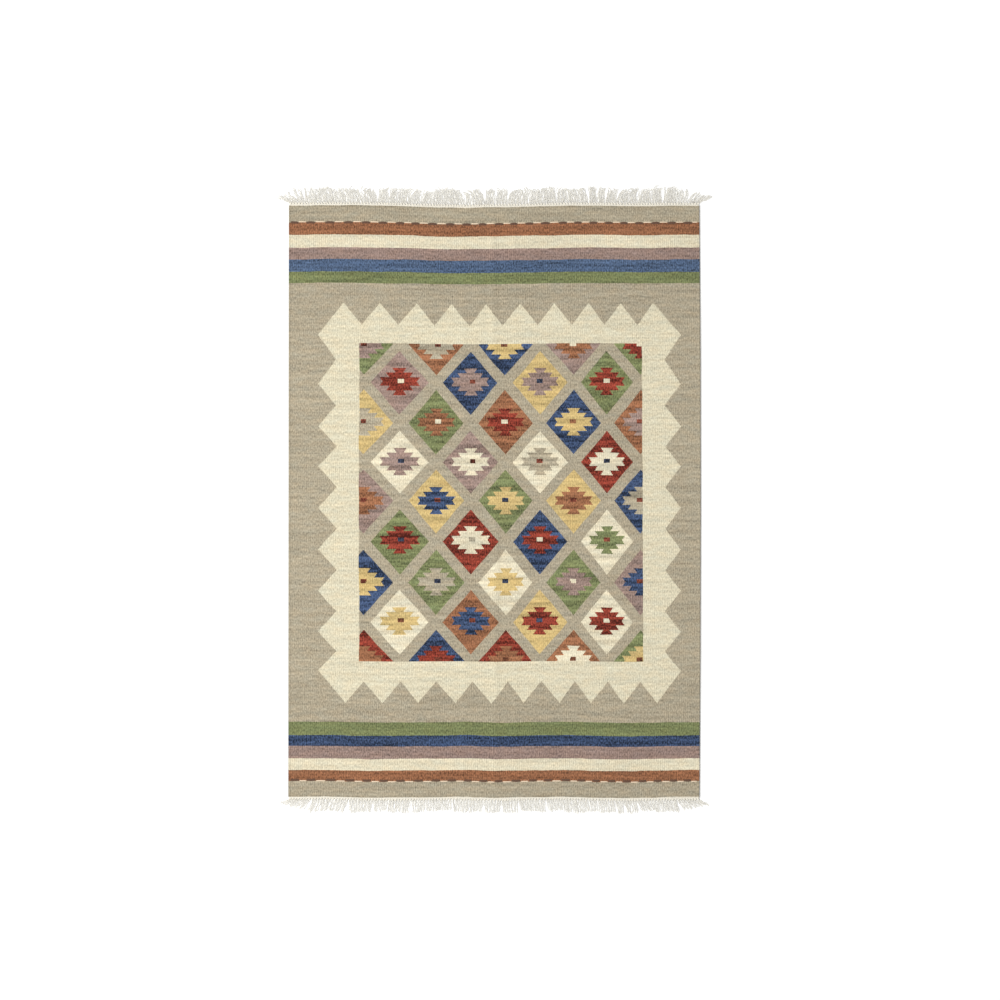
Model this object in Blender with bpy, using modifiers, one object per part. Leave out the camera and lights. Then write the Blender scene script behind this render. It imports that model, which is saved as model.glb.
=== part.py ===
"""Flat-woven kilim rug, lying on a floor: one wool cloth and its two knotted cotton warp fringes.

The cloth is a thin sheet of even thickness with a thicker selvedge down each side. It lies flat but for
three low lengthwise folds near its middle, left by storage, and its ends run in a slight wave. At each end
a row of knots holds the warps, and their loose locks lie on the floor in tufts.

Metres, +Z up. The origin is on the floor at the middle of the rug, +Y runs along its length to the end
with the curled fringe, and +X runs across its width.
"""
import math
import random
from collections import namedtuple

import bmesh
import bpy
from mathutils import Vector

# Driving dimensions of the cloth
WIDTH = 1.250
CLOTH_THICKNESS = 0.004
SELVEDGE_THICKNESS = 0.005
SELVEDGE_WIDTH = 0.007
SELVEDGE_STEP = 0.002
EDGE_ROUNDING = 0.0012
ROW_PITCH = 0.090

# How far each end reaches from the middle, along the width: share 0 is the left side, 1 the right
EndStation = namedtuple("EndStation", "share top bottom")
END_LINE = (
    EndStation(0 / 12, 0.9010, 0.8985),
    EndStation(1 / 12, 0.9015, 0.8985),
    EndStation(2 / 12, 0.9020, 0.9005),
    EndStation(3 / 12, 0.9000, 0.9020),
    EndStation(4 / 12, 0.8970, 0.9010),
    EndStation(5 / 12, 0.8945, 0.9000),
    EndStation(6 / 12, 0.8955, 0.9030),
    EndStation(7 / 12, 0.8975, 0.9005),
    EndStation(8 / 12, 0.9005, 0.8990),
    EndStation(9 / 12, 0.9005, 0.9015),
    EndStation(10 / 12, 0.8990, 0.9035),
    EndStation(11 / 12, 0.9000, 0.9010),
    EndStation(12 / 12, 0.9000, 0.9005),
)

# How far each side reaches from the middle, along the length: -1 is the bottom end, +1 the top end
SideStation = namedtuple("SideStation", "along left right")
SIDE_LINE = (
    SideStation(-1.0, 0.6270, 0.6245),
    SideStation(-0.5, 0.6265, 0.6255),
    SideStation(0.0, 0.6260, 0.6260),
    SideStation(0.5, 0.6250, 0.6255),
    SideStation(1.0, 0.6240, 0.6225),
)

# Low folds that run the whole length. Slant is how far the top end of one lies to the left, and its height
# comes and goes once in each wave.
Fold = namedtuple("Fold", "x height half_width slant wave phase")
FOLDS = (
    Fold(x=-0.0935, height=0.0011, half_width=0.016, slant=0.002, wave=0.62, phase=0.3),
    Fold(x=0.0, height=0.0024, half_width=0.022, slant=0.007, wave=0.95, phase=0.0),
    Fold(x=0.064, height=0.0010, half_width=0.014, slant=0.003, wave=0.48, phase=0.6),
)
FOLD_STEPS = 3
FOLD_UNEVENNESS = 0.25
FOLD_FADE = 0.06
SLANT_SPREAD = 3.0

# Driving dimensions of the fringes
GAP = 0.0003
LOCKS = 144
STRIP_WIDTH = 0.0030
STRIP_THICKNESS = 0.0034
ROOT_WIDTH = 0.0050
# The strip's far side has three faces for each lock, and the middle one is its root. A face of that side
# is known by its normal.
FACES_PER_LOCK = 3
SQUARE_ON = 0.9

# Sections of one lock from its root to its tip: share of its length, size, and how much of its lean and
# of its curl it has taken up there
Section = namedtuple("Section", "share width height lean curl")
LOCK_SECTIONS = (
    Section(share=0.05, width=0.0064, height=0.0046, lean=0.25, curl=0.0),
    Section(share=0.17, width=0.0036, height=0.0032, lean=0.60, curl=0.0),
    Section(share=0.47, width=0.0040, height=0.0030, lean=1.00, curl=0.10),
    Section(share=0.79, width=0.0034, height=0.0026, lean=1.00, curl=0.45),
    Section(share=1.00, width=0.0016, height=0.0016, lean=1.00, curl=1.00),
)

# How the locks of each end lie, with angles in degrees: they gather in tufts, each tuft sways to one side,
# and their tips curl to one side and the other in turn along the rug's width
End = namedtuple("End", "side length gather sway curl curl_wave uneven seed")
ENDS = {
    "fringe_top": End(1, 0.0470, 2.4, 4.5, 44.0, 0.33, 0.12, 12),
    "fringe_bottom": End(-1, 0.0425, 2.6, 7.0, 14.0, 0.46, 0.10, 21),
}
TUFT_SIZES = (3, 4, 5, 6)
CURL_UNEVENNESS = 0.25
LOCK_UNEVENNESS = 0.04
CORNER_FLARE = 72.0
CORNER_SPAN = 0.085

WOOL_GREY = (0.36, 0.32, 0.25, 1.0)
COTTON_WHITE = (0.80, 0.77, 0.68, 1.0)


def between(rows, at, key, column):
    """Reads one column of a table at a place between two of its rows."""
    for low, high in zip(rows, rows[1:]):
        start, stop = getattr(low, key), getattr(high, key)
        if at <= stop or high is rows[-1]:
            mix = (at - start) / (stop - start)
            return getattr(low, column) * (1 - mix) + getattr(high, column) * mix


def end_reach(share, side):
    """How far the cloth's end lies from the middle of the rug, at a share of its width."""
    return between(END_LINE, share, "share", "top" if side > 0 else "bottom")


def across(share, along):
    """The x of a share of the width, at a place along the length."""
    left = -between(SIDE_LINE, along, "along", "left")
    right = between(SIDE_LINE, along, "along", "right")
    return left + share * (right - left)


def fold_lift(x, y, along):
    """How high the folds lift the cloth off the floor. They fade out just before both ends."""
    lift = 0.0
    for fold in FOLDS:
        off = abs(x - fold.x)
        if off < fold.half_width:
            ebb = FOLD_UNEVENNESS * (1 + math.sin(math.tau * y / fold.wave + fold.phase))
            lift += fold.height * (1 - ebb) * math.cos(math.pi / 2 * off / fold.half_width) ** 2
    return lift * min(1.0, (1 - abs(along)) / FOLD_FADE)


def fold_slant(x, along):
    """Moves the columns near a fold sideways, because the folds don't run quite straight up the rug."""
    slants = [fold.slant * max(0.0, 1 - abs(x - fold.x) / (SLANT_SPREAD * fold.half_width)) for fold in FOLDS]
    return -max(slants) * along


def new_material(name, colour, roughness):
    material = bpy.data.materials.new(name)
    material.use_nodes = True
    shader = material.node_tree.nodes["Principled BSDF"]
    shader.inputs["Base Color"].default_value = colour
    shader.inputs["Roughness"].default_value = roughness
    shader.inputs["Metallic"].default_value = 0.0
    material.diffuse_color = colour
    return material


def new_object(name, bm, material, collection):
    mesh = bpy.data.meshes.new(name)
    bm.to_mesh(mesh)
    bm.free()
    mesh.materials.append(material)
    obj = bpy.data.objects.new(name, mesh)
    collection.objects.link(obj)
    return obj


def grid_index(vert, columns, rows):
    """The column and row of a vertex of a fresh grid, which spans -1 to 1 both ways."""
    column = round((vert.co.x + 1) / 2 * (columns - 1))
    row = round((vert.co.y + 1) / 2 * (rows - 1))
    return column, row


def cloth_columns():
    """Shares of the width where the cloth bends: stations of its ends, selvedges and folds."""
    xs = [WIDTH * (station.share - 0.5) for station in END_LINE]
    for inset in (SELVEDGE_WIDTH, SELVEDGE_WIDTH + SELVEDGE_STEP):
        xs += [inset - WIDTH / 2, WIDTH / 2 - inset]
    for fold in FOLDS:
        steps = range(-FOLD_STEPS, FOLD_STEPS + 1)
        xs += [fold.x + fold.half_width * step / FOLD_STEPS for step in steps]
    return sorted({round(x / WIDTH + 0.5, 5) for x in xs})


def build_cloth(collection):
    """A flat grid takes the outline and the folds, then Solidify and Bevel give its thickness and edge."""
    columns = cloth_columns()
    halves = round(END_LINE[0].top / ROW_PITCH)
    fade = [1 - FOLD_FADE, FOLD_FADE - 1]
    rows = sorted({round(step / halves, 5) for step in range(-halves, halves + 1)} | set(fade))

    bm = bmesh.new()
    bmesh.ops.create_grid(bm, x_segments=len(columns) - 1, y_segments=len(rows) - 1, size=1.0)
    weights = bm.verts.layers.deform.verify()
    for vert in bm.verts:
        column, row = grid_index(vert, len(columns), len(rows))
        share, along = columns[column], rows[row]
        x = WIDTH * (share - 0.5)
        y = along * end_reach(share, along)
        vert.co.z = fold_lift(x, y, along)
        vert.co.x = across(share, along) + fold_slant(x, along)
        vert.co.y = y
        inset = WIDTH * min(share, 1 - share)
        vert[weights][0] = 1.0 if inset < SELVEDGE_WIDTH + SELVEDGE_STEP / 2 else 0.0

    wool = new_material("undyed_grey_wool", WOOL_GREY, 0.95)
    cloth = new_object("kilim_cloth", bm, wool, collection)
    cloth.vertex_groups.new(name="selvedge")

    thicken = cloth.modifiers.new("thickness", "SOLIDIFY")
    thicken.thickness = SELVEDGE_THICKNESS
    thicken.offset = 1.0
    thicken.use_even_offset = True
    thicken.vertex_group = "selvedge"
    thicken.thickness_vertex_group = CLOTH_THICKNESS / SELVEDGE_THICKNESS

    rim = cloth.modifiers.new("rounded_rim", "BEVEL")
    rim.width = EDGE_ROUNDING
    rim.segments = 2
    rim.limit_method = "ANGLE"
    rim.angle_limit = math.radians(60)
    return cloth


def corner_flare(x):
    """The locks nearest a corner fan outwards."""
    inset = WIDTH / 2 - abs(x)
    fan = max(0.0, 1 - inset / CORNER_SPAN) ** 2
    return math.copysign(CORNER_FLARE * fan, x)


def lock_headings(end):
    """Lean, curl and length of every lock of one end, tuft by tuft from the left."""
    draw = random.Random(end.seed)
    pitch = WIDTH / LOCKS
    headings = []
    while len(headings) < LOCKS:
        size = min(draw.choice(TUFT_SIZES), LOCKS - len(headings))
        middle = (size - 1) / 2
        tuft_x = pitch * (len(headings) + middle + 0.5) - WIDTH / 2
        sway = end.sway * draw.uniform(-1, 1)
        turn = math.sin(math.tau * tuft_x / end.curl_wave)
        curl = end.curl * (turn + CURL_UNEVENNESS * draw.uniform(-1, 1))
        stretch = 1 + end.uneven * draw.uniform(-1, 0)
        for place in range(size):
            inward = end.gather * (middle - place)
            flare = corner_flare(tuft_x + pitch * (place - middle))
            freedom = 1 - abs(flare) / CORNER_FLARE
            lean = (sway + inward) * freedom + flare
            bend = curl * freedom
            length = end.length * stretch * (1 + LOCK_UNEVENNESS * draw.uniform(-1, 0))
            headings.append((math.radians(lean), math.radians(bend), length))
    return headings


def place_ring(face, centre, sideways, width, height):
    """Shapes a lock's end face: a flat-bottomed rectangle that stands on the floor."""
    middle = face.calc_center_median()
    for vert in face.verts:
        arm = vert.co - middle
        reach = math.copysign(width / 2, arm.x)
        vert.co = centre + sideways * reach + Vector((0, 0, height if arm.z > 0 else 0))


def grow_lock(bm, root, side, lean, curl, length):
    """Extrudes a lock from its root face on the knotted strip, section by section to its tip."""
    centre = root.calc_center_median()
    centre.z = 0.0
    reached = 0.0
    face = root
    for section in LOCK_SECTIONS:
        heading = lean * section.lean + curl * section.curl
        onward = Vector((math.sin(heading), side * math.cos(heading), 0))
        sideways = Vector((math.cos(heading), -side * math.sin(heading), 0))
        centre = centre + onward * length * (section.share - reached)
        reached = section.share
        face = bmesh.ops.extrude_discrete_faces(bm, faces=[face])["faces"][0]
        place_ring(face, centre, sideways, section.width, section.height)


def build_fringe(name, end, collection):
    """A narrow strip follows the cloth's end, and each lock is extruded from a root face on its far side."""
    pitch = 1 / LOCKS
    root_half = ROOT_WIDTH / WIDTH / 2
    columns = [0.0]
    for lock in range(LOCKS):
        middle = (lock + 0.5) * pitch
        columns += [middle - root_half, middle + root_half, (lock + 1) * pitch]

    bm = bmesh.new()
    bmesh.ops.create_grid(bm, x_segments=len(columns) - 1, y_segments=1, size=1.0)
    for vert in bm.verts:
        column, row = grid_index(vert, len(columns), 2)
        share = columns[column]
        far = row == (1 if end.side > 0 else 0)
        reach = end_reach(share, end.side) + GAP + (STRIP_WIDTH if far else 0.0)
        vert.co = Vector((across(share, end.side), end.side * reach, 0))
    raised = bmesh.ops.extrude_face_region(bm, geom=bm.faces[:])["geom"]
    for vert in (part for part in raised if isinstance(part, bmesh.types.BMVert)):
        vert.co.z = STRIP_THICKNESS
    bmesh.ops.recalc_face_normals(bm, faces=bm.faces[:])

    far_faces = [face for face in bm.faces if face.normal.y * end.side > SQUARE_ON]
    far_faces.sort(key=lambda face: face.calc_center_median().x)
    roots = far_faces[1::FACES_PER_LOCK]
    for root, (lean, curl, length) in zip(roots, lock_headings(end)):
        grow_lock(bm, root, end.side, lean, curl, length)
    bmesh.ops.recalc_face_normals(bm, faces=bm.faces[:])

    cotton = new_material(f"{name}_cotton", COTTON_WHITE, 0.9)
    return new_object(name, bm, cotton, collection)


for old in list(bpy.data.objects):
    bpy.data.objects.remove(old, do_unlink=True)
rug = bpy.data.collections.new("kilim_rug")
bpy.context.scene.collection.children.link(rug)
build_cloth(rug)
for fringe_name, fringe_end in ENDS.items():
    build_fringe(fringe_name, fringe_end, rug)
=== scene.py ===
"""Flat-woven wool kilim rug with knotted cotton fringes, laid out on a pale studio floor.

The rug is put together in the order in which it is made: the cloth and its woven pattern, the twined line
beside each rust stripe, the cord that closes each end, the knots, and the loose warps of the fringe.

Metres, +Z up. The rug's length runs along Y, and the end with the curled fringe is at +Y.
"""
import math
import random
from collections import namedtuple
from functools import partialmethod
from types import SimpleNamespace

import bmesh
import bpy
import numpy as np
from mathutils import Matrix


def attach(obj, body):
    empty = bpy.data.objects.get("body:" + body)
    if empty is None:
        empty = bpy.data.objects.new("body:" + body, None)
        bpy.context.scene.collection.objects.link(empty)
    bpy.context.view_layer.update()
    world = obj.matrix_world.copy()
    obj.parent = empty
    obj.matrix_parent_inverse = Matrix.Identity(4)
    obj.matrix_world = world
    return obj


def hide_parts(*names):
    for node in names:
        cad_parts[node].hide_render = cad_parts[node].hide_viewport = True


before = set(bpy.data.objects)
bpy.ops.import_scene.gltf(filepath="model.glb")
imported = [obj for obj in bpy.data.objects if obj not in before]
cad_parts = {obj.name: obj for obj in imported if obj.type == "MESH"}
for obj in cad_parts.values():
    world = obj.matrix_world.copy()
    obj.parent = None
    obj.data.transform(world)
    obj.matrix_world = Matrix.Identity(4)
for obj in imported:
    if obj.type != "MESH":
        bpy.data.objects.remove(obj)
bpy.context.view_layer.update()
scene = bpy.context.scene


# ------------------------------------------------
# The camera looks straight down at the rug through a long lens, so that its sides stay parallel.
# The rug lies a little to the left of the middle of the picture.
# ------------------------------------------------
FLOOR_IN_VIEW = 3.040
VIEW_CENTRE = (0.0173, 0.0043)
LENS_LENGTH = 135.0
FILM_WIDTH = 36.0
FARTHEST_SEEN = 100.0

camera_data = bpy.data.cameras.new("overhead_camera")
camera_data.lens = LENS_LENGTH
camera_data.sensor_width = FILM_WIDTH
camera_data.clip_end = FARTHEST_SEEN
camera = bpy.data.objects.new("overhead_camera", camera_data)
camera.location = (*VIEW_CENTRE, FLOOR_IN_VIEW * LENS_LENGTH / FILM_WIDTH)
scene.collection.objects.link(camera)
scene.camera = camera


# ------------------------------------------------
# The cloth is a weft-faced flat weave: hand-spun wool beaten down over strong cotton warps, which show as
# ribs along its length. Both sides end in a thick round selvedge. Storage has left three low folds.
# ------------------------------------------------
WIDTH = 1.250
LENGTH = 1.800
CLOTH_THICKNESS = 0.0040
SELVEDGE_THICKNESS = 0.0050
SELVEDGE_WIDTH = 0.0070
SELVEDGE_EDGE = 0.45
RIBS = 200
STEPS_PER_RIB = 4
RIB_DEPTH = 0.0006
RIB_PITCH = WIDTH / RIBS
ROW_PITCH = 0.040
ROUNDED_END = ((0.0, 0.55), (0.0011, 0.92), (0.0030, 1.0))

# How far each end reaches from the middle of the rug, in even steps across it from the left. A script found
# these edges in the photo, and they are rounded to half a millimetre.
TOP_END = (
    0.9010, 0.9015, 0.9020, 0.9000, 0.8970, 0.8945, 0.8955, 0.8975, 0.9005, 0.9005, 0.8990, 0.9000, 0.9000,
)
BOTTOM_END = (
    0.8985, 0.8985, 0.9005, 0.9020, 0.9010, 0.9000, 0.9030, 0.9005, 0.8990, 0.9015, 0.9035, 0.9010, 0.9005,
)

# How far each side reaches from the middle, in even steps along the rug from the bottom end, as measured in
# the photo
LEFT_SIDE = (0.6261, 0.6257, 0.6253, 0.6249, 0.6243)
RIGHT_SIDE = (0.6235, 0.6264, 0.6274, 0.6267, 0.6232)

# Low folds that run the whole length. Slant is how far the top end of one lies to the left, and its height
# comes and goes once in each wave.
Fold = namedtuple("Fold", "x height half_width slant wave phase")
FOLDS = (
    Fold(x=-0.0935, height=0.0011, half_width=0.016, slant=0.002, wave=0.62, phase=0.3),
    Fold(x=0.0, height=0.0029, half_width=0.022, slant=0.007, wave=0.95, phase=0.0),
    Fold(x=0.064, height=0.0010, half_width=0.014, slant=0.003, wave=0.48, phase=0.6),
)
FOLD_UNEVENNESS = 0.25
FOLD_FADE = 0.06
SLANT_SPREAD = 3.0

# The ribs waver a little, as hand-strung warps do, but not at the selvedges. They do so in waves across and
# along the rug, in radians a metre, each bent by slower ones in the other direction.
Wave = namedtuple("Wave", "rate bend bend_rate")
WAVER = 0.0016
WAVER_FADE = 3 * RIB_PITCH
WAVES_ACROSS = Wave(31, 5, 7)
WAVES_ALONG = Wave(26, 3, 4)


def reach(edge, share):
    """How far an end or a side lies from the middle of the rug, at a share of its own length."""
    return np.interp(share, np.linspace(0.0, 1.0, len(edge)), edge)


def bent_wave(wave, place, other):
    """A wave along one direction, bent by a slower one along the other."""
    return np.sin(wave.rate * place + wave.bend * np.sin(wave.bend_rate * other))


def lie_of_cloth(u, v):
    """Where a point of the cloth lies, from how far across (u) and along (v) the weave it is: x, y and
    how high a fold lifts it."""
    along = v / (LENGTH / 2)
    left = reach(LEFT_SIDE, along / 2 + 0.5)
    right = reach(RIGHT_SIDE, along / 2 + 0.5)
    across = u / WIDTH + 0.5
    y = along * np.where(v > 0, reach(TOP_END, across), reach(BOTTOM_END, across))
    lift = 0.0
    slant = 0.0
    for fold in FOLDS:
        off = np.abs(u - fold.x) / fold.half_width
        ebb = FOLD_UNEVENNESS * (1 + np.sin(math.tau * y / fold.wave + fold.phase))
        crest = np.where(off < 1, np.cos(math.pi / 2 * off) ** 2, 0.0)
        lift = lift + fold.height * (1 - ebb) * crest
        slant = np.maximum(slant, fold.slant * (1 - off / SLANT_SPREAD))
    lift = lift * np.minimum(1.0, (1 - np.abs(along)) / FOLD_FADE)
    x = across * (left + right) - left - slant * along
    waver = bent_wave(WAVES_ACROSS, u, v) * bent_wave(WAVES_ALONG, v, u)
    inside = np.clip((WIDTH / 2 - np.abs(u)) / WAVER_FADE, 0.0, 1.0)
    return x + WAVER * waver * inside, y, lift


# The zigzag edge of the cream border. Its tips were measured in the photo, and their spacing drifts.
TOP_TIPS = (-0.4584, -0.3480, -0.2360, -0.1283, -0.0228, 0.0792, 0.1833, 0.2852, 0.3844, 0.4812)
BOTTOM_TIPS = (-0.4521, -0.3392, -0.2312, -0.1195, -0.0127, 0.0892, 0.1972, 0.2940, 0.3932, 0.4951)
SIDE_TIPS = (0.5055, 0.3562, 0.2276, 0.1066, -0.0192, -0.1463, -0.2712, -0.3958, -0.5150)
Teeth = namedtuple("Teeth", "tips reach root")
TEETH = {
    "teeth_top": Teeth(TOP_TIPS, 0.6015, 0.5345),
    "teeth_bottom": Teeth(BOTTOM_TIPS, -0.6140, -0.5479),
    "teeth_left": Teeth(SIDE_TIPS, -0.5349, -0.4803),
    "teeth_right": Teeth(SIDE_TIPS, 0.5655, 0.5170),
}
OUT_OF_THE_WAY = 2.0


def zigzag(name):
    """The corners of one zigzag edge in order, as places along the edge and how far out they reach. Beyond
    the end teeth a top or bottom edge runs straight to the end tip of the side's teeth."""
    teeth = TEETH[name]
    tips = sorted(teeth.tips)
    places = []
    reaches = []
    for tip, following in zip(tips, tips[1:]):
        places += [tip, (tip + following) / 2]
        reaches += [teeth.reach, teeth.root]
    places.append(tips[-1])
    reaches.append(teeth.reach)
    if name in ("teeth_top", "teeth_bottom"):
        corner = max(SIDE_TIPS) if name == "teeth_top" else min(SIDE_TIPS)
        left, right = TEETH["teeth_left"].reach, TEETH["teeth_right"].reach
        places = [left - ROW_PITCH, left, *places, right, right + ROW_PITCH]
        reaches = [0.0, corner, *reaches, corner, 0.0]
    else:
        clear = math.copysign(OUT_OF_THE_WAY, teeth.reach)
        places = [places[0] - ROW_PITCH, *places, places[-1] + ROW_PITCH]
        reaches = [clear, *reaches, clear]
    return places, reaches


# The field of diamonds: two sets of rows that interlock. Rows 0 and 8 and the outer columns are cut by the
# field's edge. Its right side leans out a little towards the bottom. All places were measured in the photo.
FIELD_LEFT, FIELD_RIGHT = -0.4111, 0.4490
FIELD_LEAN = 0.0063
FIELD_TOP, FIELD_BOTTOM = 0.4805, -0.4857

# A row of diamonds: where it is widest, how far up and down from there its tips reach, and how far up from
# there the middle of its medallions is
Row = namedtuple("Row", "place up down medallion")
ROWS = (
    Row(0.4785, 0.0960, 0.0935, -0.0025),
    Row(0.3622, 0.0956, 0.0982, 0.0025),
    Row(0.2382, 0.1018, 0.0948, 0.0036),
    Row(0.1192, 0.0960, 0.0950, 0.0020),
    Row(0.0025, 0.0945, 0.1003, 0.0000),
    Row(-0.1220, 0.0972, 0.1003, 0.0048),
    Row(-0.2462, 0.0997, 0.0990, 0.0024),
    Row(-0.3668, 0.0985, 0.0975, 0.0040),
    Row(-0.4850, 0.0954, 0.0960, 0.0045),
)

# A column of diamonds: where its middle is, how far to each side its diamonds reach, and how far to the right
# of its middle the hearts are
Column = namedtuple("Column", "place half_width heart")
EVEN_COLUMNS = (
    Column(-0.3972, 0.0895, -0.0010),
    Column(-0.1770, 0.0846, 0.0050),
    Column(0.0330, 0.0822, -0.0015),
    Column(0.2395, 0.0825, -0.0010),
    Column(0.4430, 0.0800, -0.0020),
)
ODD_COLUMNS = (
    Column(-0.2880, 0.0880, 0.0045),
    Column(-0.0725, 0.0837, 0.0050),
    Column(0.1380, 0.0831, -0.0010),
    Column(0.3405, 0.0792, -0.0005),
)


# A yarn's look is the mean colour of patches of it, measured in the photo and then corrected against renders.
# The studio's light is stronger than that look takes for granted, so each yarn is darker by this share.
MATCHING_LIGHT = 0.85


def dye(red, green, blue):
    """A yarn's colour, from how it looks in the matching light: 0 to 255 for each channel."""
    looks = [((part / 255 + 0.055) / 1.055) ** 2.4 for part in (red, green, blue)]
    return tuple(MATCHING_LIGHT * look for look in looks) + (1.0,)


YARNS = {
    "grey": dye(175, 164, 141),
    "cream": dye(228, 218, 190),
    "border": dye(222, 213, 185),
    "rust": dye(150, 102, 73),
    "mauve": dye(154, 131, 121),
    "blue": dye(60, 75, 103),
    "faded_blue": dye(82, 100, 127),
    "green": dye(124, 131, 89),
    "yellow": dye(206, 180, 122),
    "red": dye(132, 57, 44),
    "brown": dye(100, 62, 44),
    "maroon": dye(116, 62, 48),
    "ink": dye(50, 56, 72),
    "cotton": dye(246, 238, 220),
}

# Each diamond's ground, medallion and heart, row by row from the top end and from left to right
CHART = (
    ("green mauve maroon", "rust grey maroon", "blue yellow brown", "mauve rust cream", "green red cream"),
    ("mauve red cream", "blue mauve maroon", "yellow mauve ink", "green red cream"),
    ("yellow grey maroon", "green rust cream", "rust red cream", "blue yellow rust", "rust mauve maroon"),
    ("cream mauve ink", "mauve cream maroon", "cream grey maroon", "red cream ink"),
    ("mauve rust maroon", "yellow blue maroon", "green yellow ink", "yellow rust maroon", "blue grey maroon"),
    ("green red ink", "red cream grey", "blue red cream", "cream green maroon"),
    ("blue yellow maroon", "green grey ink", "cream yellow ink", "green mauve cream", "mauve blue maroon"),
    ("cream yellow brown", "rust blue maroon", "yellow red ink", "cream red cream"),
    ("red rust rust", "blue red maroon", "red rust brown", "rust cream brown", "green yellow brown"),
)
CHART_PARTS = ("ground", "medallion", "heart")
DYE_SEED = 5


def column(rows, name):
    """One column of a table."""
    return [getattr(row, name) for row in rows]


def cloth_rows():
    """Where along the cloth its mesh has points: at its rounded ends, at the tips and roots of the side
    teeth, and enough between them for its folds."""
    half = LENGTH / 2
    fixed = {side * (half - inset) for side in (-1, 1) for inset, _ in ROUNDED_END}
    fixed |= {side * half * (1 - FOLD_FADE) for side in (-1, 1)}
    fixed |= set(zigzag("teeth_left")[0])
    rows = sorted(fixed)
    for low, high in zip(sorted(fixed), sorted(fixed)[1:]):
        steps = math.ceil((high - low) / ROW_PITCH)
        rows += [low + (high - low) * step / steps for step in range(1, steps)]
    return np.array(sorted(rows))


def nearest(places, at):
    """Which of some places each point is nearest to."""
    return np.abs(np.asarray(at)[:, None] - np.asarray(places)[None, :]).argmin(axis=1)


def set_attribute(mesh, name, kind, domain, values):
    attribute = mesh.attributes.new(name, kind, domain)
    key = {"FLOAT": "value", "FLOAT_COLOR": "color", "FLOAT_VECTOR": "vector"}[kind]
    attribute.data.foreach_set(key, np.asarray(values, np.float32).ravel())


def chart_diamonds(mesh, face_u, face_v):
    """Gives each face the yarns and the place of the nearest diamond of the even rows, and of the odd."""
    draw = random.Random(DYE_SEED)
    tones = [[draw.random() for _ in row] for row in CHART]
    for name, columns, first in (("even", EVEN_COLUMNS, 0), ("odd", ODD_COLUMNS, 1)):
        row = nearest(column(ROWS[first::2], "place"), face_v) * 2 + first
        place = nearest(column(columns, "place"), face_u)
        diamonds = [(ROWS[r], columns[c], CHART[r][c].split(), tones[r][c]) for r, c in zip(row, place)]
        for part, title in enumerate(CHART_PARTS):
            colours = [YARNS[yarns[part]] for _, _, yarns, _ in diamonds]
            set_attribute(mesh, f"{name}_{title}", "FLOAT_COLOR", "FACE", colours)
        for title, measures in {
            "centre": [(c.place, r.place, tone) for r, c, _, tone in diamonds],
            "reach": [(c.half_width, r.up, r.down) for r, c, _, _ in diamonds],
            "offset": [(c.heart, r.medallion, 0.0) for r, c, _, _ in diamonds],
        }.items():
            set_attribute(mesh, f"{name}_{title}", "FLOAT_VECTOR", "FACE", measures)


def weave_cloth():
    """The cloth's middle surface, with its place in the weave as a UV map and the pattern as attributes."""
    us = WIDTH * (np.arange(RIBS * STEPS_PER_RIB + 1) / (RIBS * STEPS_PER_RIB) - 0.5)
    vs = cloth_rows()
    bm = bmesh.new()
    bmesh.ops.create_grid(bm, x_segments=len(us) - 1, y_segments=len(vs) - 1, size=1.0)
    mesh = bpy.data.meshes.new("kilim")
    bm.to_mesh(mesh)
    bm.free()

    co = np.zeros(len(mesh.vertices) * 3)
    mesh.vertices.foreach_get("co", co)
    co = co.reshape(-1, 3)
    across = np.rint((co[:, 0] + 1) / 2 * (len(us) - 1)).astype(int)
    along = np.rint((co[:, 1] + 1) / 2 * (len(vs) - 1)).astype(int)
    u = us[across]
    v = vs[along]
    x, y, lift = lie_of_cloth(u, v)
    at_selvedge = WIDTH / 2 - np.abs(u) < SELVEDGE_WIDTH
    middle = np.where(at_selvedge, SELVEDGE_THICKNESS, CLOTH_THICKNESS) / 2
    mesh.vertices.foreach_set("co", np.stack([x, y, lift + middle], axis=1).ravel())

    corner_verts = np.zeros(len(mesh.loops), int)
    mesh.loops.foreach_get("vertex_index", corner_verts)
    woven = mesh.uv_layers.new(name="woven")
    woven.uv.foreach_set("vector", np.stack([u, v], axis=1)[corner_verts].astype(np.float32).ravel())
    face_corners = corner_verts.reshape(-1, 4)
    chart_diamonds(mesh, u[face_corners].mean(axis=1), v[face_corners].mean(axis=1))
    for name in TEETH:
        places, reaches = zigzag(name)
        edge = np.interp(u if name in ("teeth_top", "teeth_bottom") else v, places, reaches)
        set_attribute(mesh, name, "FLOAT", "POINT", edge)
    mesh.shade_smooth()
    return mesh


class Value:
    """A value in a node tree. A sum, a product or a test on it adds the node that works it out. A test gives
    1 where it holds and 0 where it doesn't."""

    def __init__(self, tree, socket):
        self.tree = tree
        self.socket = socket

    def calc(self, operation, *others):
        return value_of(self.tree, "ShaderNodeMath", dict(enumerate((self, *others))), operation=operation)

    def __rsub__(self, other):
        return value_of(self.tree, "ShaderNodeMath", {0: other, 1: self}, operation="SUBTRACT")

    __add__ = partialmethod(calc, "ADD")
    __sub__ = partialmethod(calc, "SUBTRACT")
    __mul__ = partialmethod(calc, "MULTIPLY")
    __truediv__ = partialmethod(calc, "DIVIDE")
    __pow__ = partialmethod(calc, "POWER")
    __lt__ = partialmethod(calc, "LESS_THAN")
    __gt__ = partialmethod(calc, "GREATER_THAN")
    __abs__ = partialmethod(calc, "ABSOLUTE")
    at_least = partialmethod(calc, "MAXIMUM")
    floor = partialmethod(calc, "FLOOR")
    fraction = partialmethod(calc, "FRACT")
    root = partialmethod(calc, "SQRT")
    sine = partialmethod(calc, "SINE")
    cosine = partialmethod(calc, "COSINE")


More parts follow.
